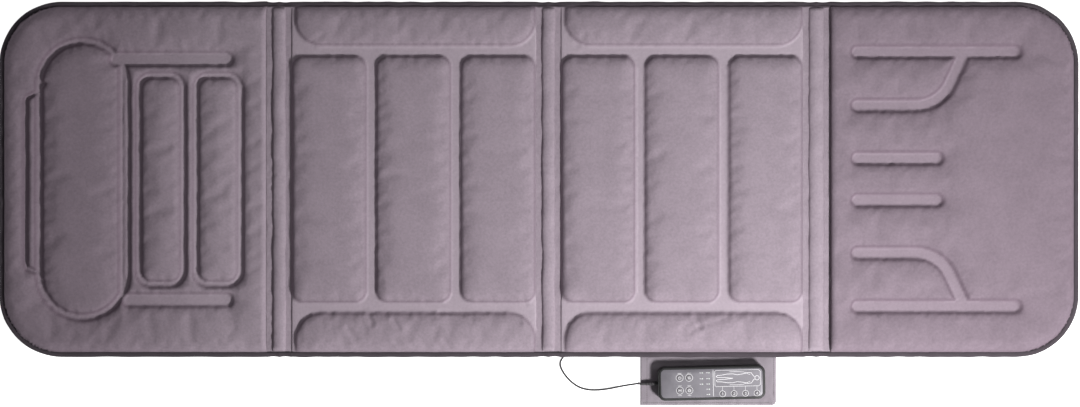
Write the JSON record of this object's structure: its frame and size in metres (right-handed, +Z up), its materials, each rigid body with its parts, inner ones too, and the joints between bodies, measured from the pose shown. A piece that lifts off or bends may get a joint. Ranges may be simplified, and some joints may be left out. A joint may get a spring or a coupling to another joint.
{
  "type": "folding massage mat",
  "caption": "Folding full-body massage mat with heat: padded sections joined by fabric folds, vibration motors, a side pocket and a wired hand control with push keys.",
  "frame": {"origin": "centre of the whole outline, pocket included, on the surface that the mat lies on", "axes": "+X along the mat from the head end to the foot end, +Y across the mat away from the pocket, +Z up out of the padded side"},
  "size_m": [1.7, 0.637, 0.0288],
  "materials": {
    "plush": "matte",
    "web_fabric": "matte",
    "binding_tape": "matte",
    "base_cloth": "matte",
    "pocket_cloth": "matte",
    "foam": "matte",
    "heat_sheet": "matte",
    "motor_plastic": "matte",
    "rotor_steel": "satin",
    "shell_plastic": "satin",
    "face_plastic": "satin",
    "circuit_board": "satin",
    "key_plastic": "satin",
    "soft_rubber": "matte",
    "screw_steel": "satin",
    "cord_jacket": "satin"
  },
  "bodies": {
    "seat": {"seat_base_cloth": "base_cloth", "seat_foam_core": "foam", "seat_top_cover": "plush", "seat_heat_pad": "heat_sheet", "seat_binding_left": "binding_tape", "seat_binding_right": "binding_tape", "seat_left_motor_case": "motor_plastic", "seat_right_motor_case": "motor_plastic", "pocket_back_panel": "pocket_cloth", "pocket_front_panel": "pocket_cloth", "cord_grommet": "soft_rubber", "power_inlet": "soft_rubber", "handset_cord": "cord_jacket"},
    "middle_web": {"middle_fold_web": "web_fabric"},
    "back": {"back_base_cloth": "base_cloth", "back_foam_core": "foam", "back_top_cover": "plush", "back_heat_pad": "heat_sheet", "back_binding_left": "binding_tape", "back_binding_right": "binding_tape", "back_left_motor_case": "motor_plastic", "back_right_motor_case": "motor_plastic"},
    "head_web": {"head_fold_web": "web_fabric"},
    "head": {"head_base_cloth": "base_cloth", "head_foam_core": "foam", "head_top_cover": "plush", "head_binding": "binding_tape", "head_left_motor_case": "motor_plastic", "head_right_motor_case": "motor_plastic"},
    "leg_web": {"leg_fold_web": "web_fabric"},
    "leg": {"leg_base_cloth": "base_cloth", "leg_foam_core": "foam", "leg_top_cover": "plush", "leg_binding": "binding_tape", "leg_left_motor_case": "motor_plastic", "leg_right_motor_case": "motor_plastic"},
    "handset": {"handset_bottom_shell": "shell_plastic", "handset_top_shell": "shell_plastic", "handset_faceplate": "face_plastic", "handset_circuit_board": "circuit_board", "handset_cable_boot": "soft_rubber", "handset_screw_1": "screw_steel", "handset_screw_2": "screw_steel"},
    "power_key": {"handset_power_key": "key_plastic"},
    "heat_key": {"handset_heat_key": "key_plastic"},
    "mode_key": {"handset_mode_key": "key_plastic"},
    "speed_key": {"handset_speed_key": "key_plastic"},
    "zone_1_key": {"handset_zone_1_key": "key_plastic"},
    "zone_2_key": {"handset_zone_2_key": "key_plastic"},
    "zone_3_key": {"handset_zone_3_key": "key_plastic"},
    "zone_4_key": {"handset_zone_4_key": "key_plastic"},
    "head_left_rotor": {"head_left_rotor": "rotor_steel"},
    "head_right_rotor": {"head_right_rotor": "rotor_steel"},
    "back_left_rotor": {"back_left_rotor": "rotor_steel"},
    "back_right_rotor": {"back_right_rotor": "rotor_steel"},
    "seat_left_rotor": {"seat_left_rotor": "rotor_steel"},
    "seat_right_rotor": {"seat_right_rotor": "rotor_steel"},
    "leg_left_rotor": {"leg_left_rotor": "rotor_steel"},
    "leg_right_rotor": {"leg_right_rotor": "rotor_steel"}
  },
  "joints": [
    {"name": "middle_fold", "type": "hinge", "parent": "seat", "child": "middle_web", "pos_m": [0.0312, 0.0385, 0.012], "axis": [0, -1, 0], "range_deg": [0, 90]},
    {"name": "middle_fold_far", "type": "hinge", "parent": "middle_web", "child": "back", "pos_m": [-0.0012, 0.0385, 0.012], "axis": [0, -1, 0], "range_deg": [0, 90]},
    {"name": "head_fold", "type": "hinge", "parent": "back", "child": "head_web", "pos_m": [-0.3928, 0.0385, 0.012], "axis": [0, 1, 0], "range_deg": [0, 90]},
    {"name": "head_fold_far", "type": "hinge", "parent": "head_web", "child": "head", "pos_m": [-0.4252, 0.0385, 0.012], "axis": [0, 1, 0], "range_deg": [0, 90]},
    {"name": "leg_fold", "type": "hinge", "parent": "seat", "child": "leg_web", "pos_m": [0.4188, 0.0385, 0.012], "axis": [0, -1, 0], "range_deg": [0, 90]},
    {"name": "leg_fold_far", "type": "hinge", "parent": "leg_web", "child": "leg", "pos_m": [0.4552, 0.0385, 0.012], "axis": [0, -1, 0], "range_deg": [0, 90]},
    {"name": "handset_lift", "type": "slide", "parent": "seat", "child": "handset", "axis": [0, 0, 1], "range_m": [0, 0.07]},
    {"name": "power_press", "type": "slide", "parent": "handset", "child": "power_key", "axis": [0, 0, -1], "range_m": [0, 0.0007], "stiffness_N_per_m": 300},
    {"name": "heat_press", "type": "slide", "parent": "handset", "child": "heat_key", "axis": [0, 0, -1], "range_m": [0, 0.0007], "stiffness_N_per_m": 300},
    {"name": "mode_press", "type": "slide", "parent": "handset", "child": "mode_key", "axis": [0, 0, -1], "range_m": [0, 0.0007], "stiffness_N_per_m": 300},
    {"name": "speed_press", "type": "slide", "parent": "handset", "child": "speed_key", "axis": [0, 0, -1], "range_m": [0, 0.0007], "stiffness_N_per_m": 300},
    {"name": "zone_1_press", "type": "slide", "parent": "handset", "child": "zone_1_key", "axis": [0, 0, -1], "range_m": [0, 0.0007], "stiffness_N_per_m": 300},
    {"name": "zone_2_press", "type": "slide", "parent": "handset", "child": "zone_2_key", "axis": [0, 0, -1], "range_m": [0, 0.0007], "stiffness_N_per_m": 300},
    {"name": "zone_3_press", "type": "slide", "parent": "handset", "child": "zone_3_key", "axis": [0, 0, -1], "range_m": [0, 0.0007], "stiffness_N_per_m": 300},
    {"name": "zone_4_press", "type": "slide", "parent": "handset", "child": "zone_4_key", "axis": [0, 0, -1], "range_m": [0, 0.0007], "stiffness_N_per_m": 300},
    {"name": "head_left_spin", "type": "hinge", "parent": "head", "child": "head_left_rotor", "pos_m": [-0.5945, 0.1175, 0.01], "axis": [0, 0, 1], "continuous": true},
    {"name": "head_right_spin", "type": "hinge", "parent": "head", "child": "head_right_rotor", "pos_m": [-0.5945, -0.0405, 0.01], "axis": [0, 0, 1], "continuous": true},
    {"name": "back_left_spin", "type": "hinge", "parent": "back", "child": "back_left_rotor", "pos_m": [-0.197, 0.136, 0.01], "axis": [0, 0, 1], "continuous": true},
    {"name": "back_right_spin", "type": "hinge", "parent": "back", "child": "back_right_rotor", "pos_m": [-0.197, -0.059, 0.01], "axis": [0, 0, 1], "continuous": true},
    {"name": "seat_left_spin", "type": "hinge", "parent": "seat", "child": "seat_left_rotor", "pos_m": [0.225, 0.136, 0.01], "axis": [0, 0, 1], "continuous": true},
    {"name": "seat_right_spin", "type": "hinge", "parent": "seat", "child": "seat_right_rotor", "pos_m": [0.225, -0.059, 0.01], "axis": [0, 0, 1], "continuous": true},
    {"name": "leg_left_spin", "type": "hinge", "parent": "leg", "child": "leg_left_rotor", "pos_m": [0.7025, 0.0965, 0.01], "axis": [0, 0, 1], "continuous": true},
    {"name": "leg_right_spin", "type": "hinge", "parent": "leg", "child": "leg_right_rotor", "pos_m": [0.7025, -0.0195, 0.01], "axis": [0, 0, 1], "continuous": true}
  ],
  "couplings": [
    {"joint": "middle_fold_far", "follows": "middle_fold", "ratio": 1},
    {"joint": "head_fold_far", "follows": "head_fold", "ratio": 1},
    {"joint": "leg_fold_far", "follows": "leg_fold", "ratio": 1}
  ]
}
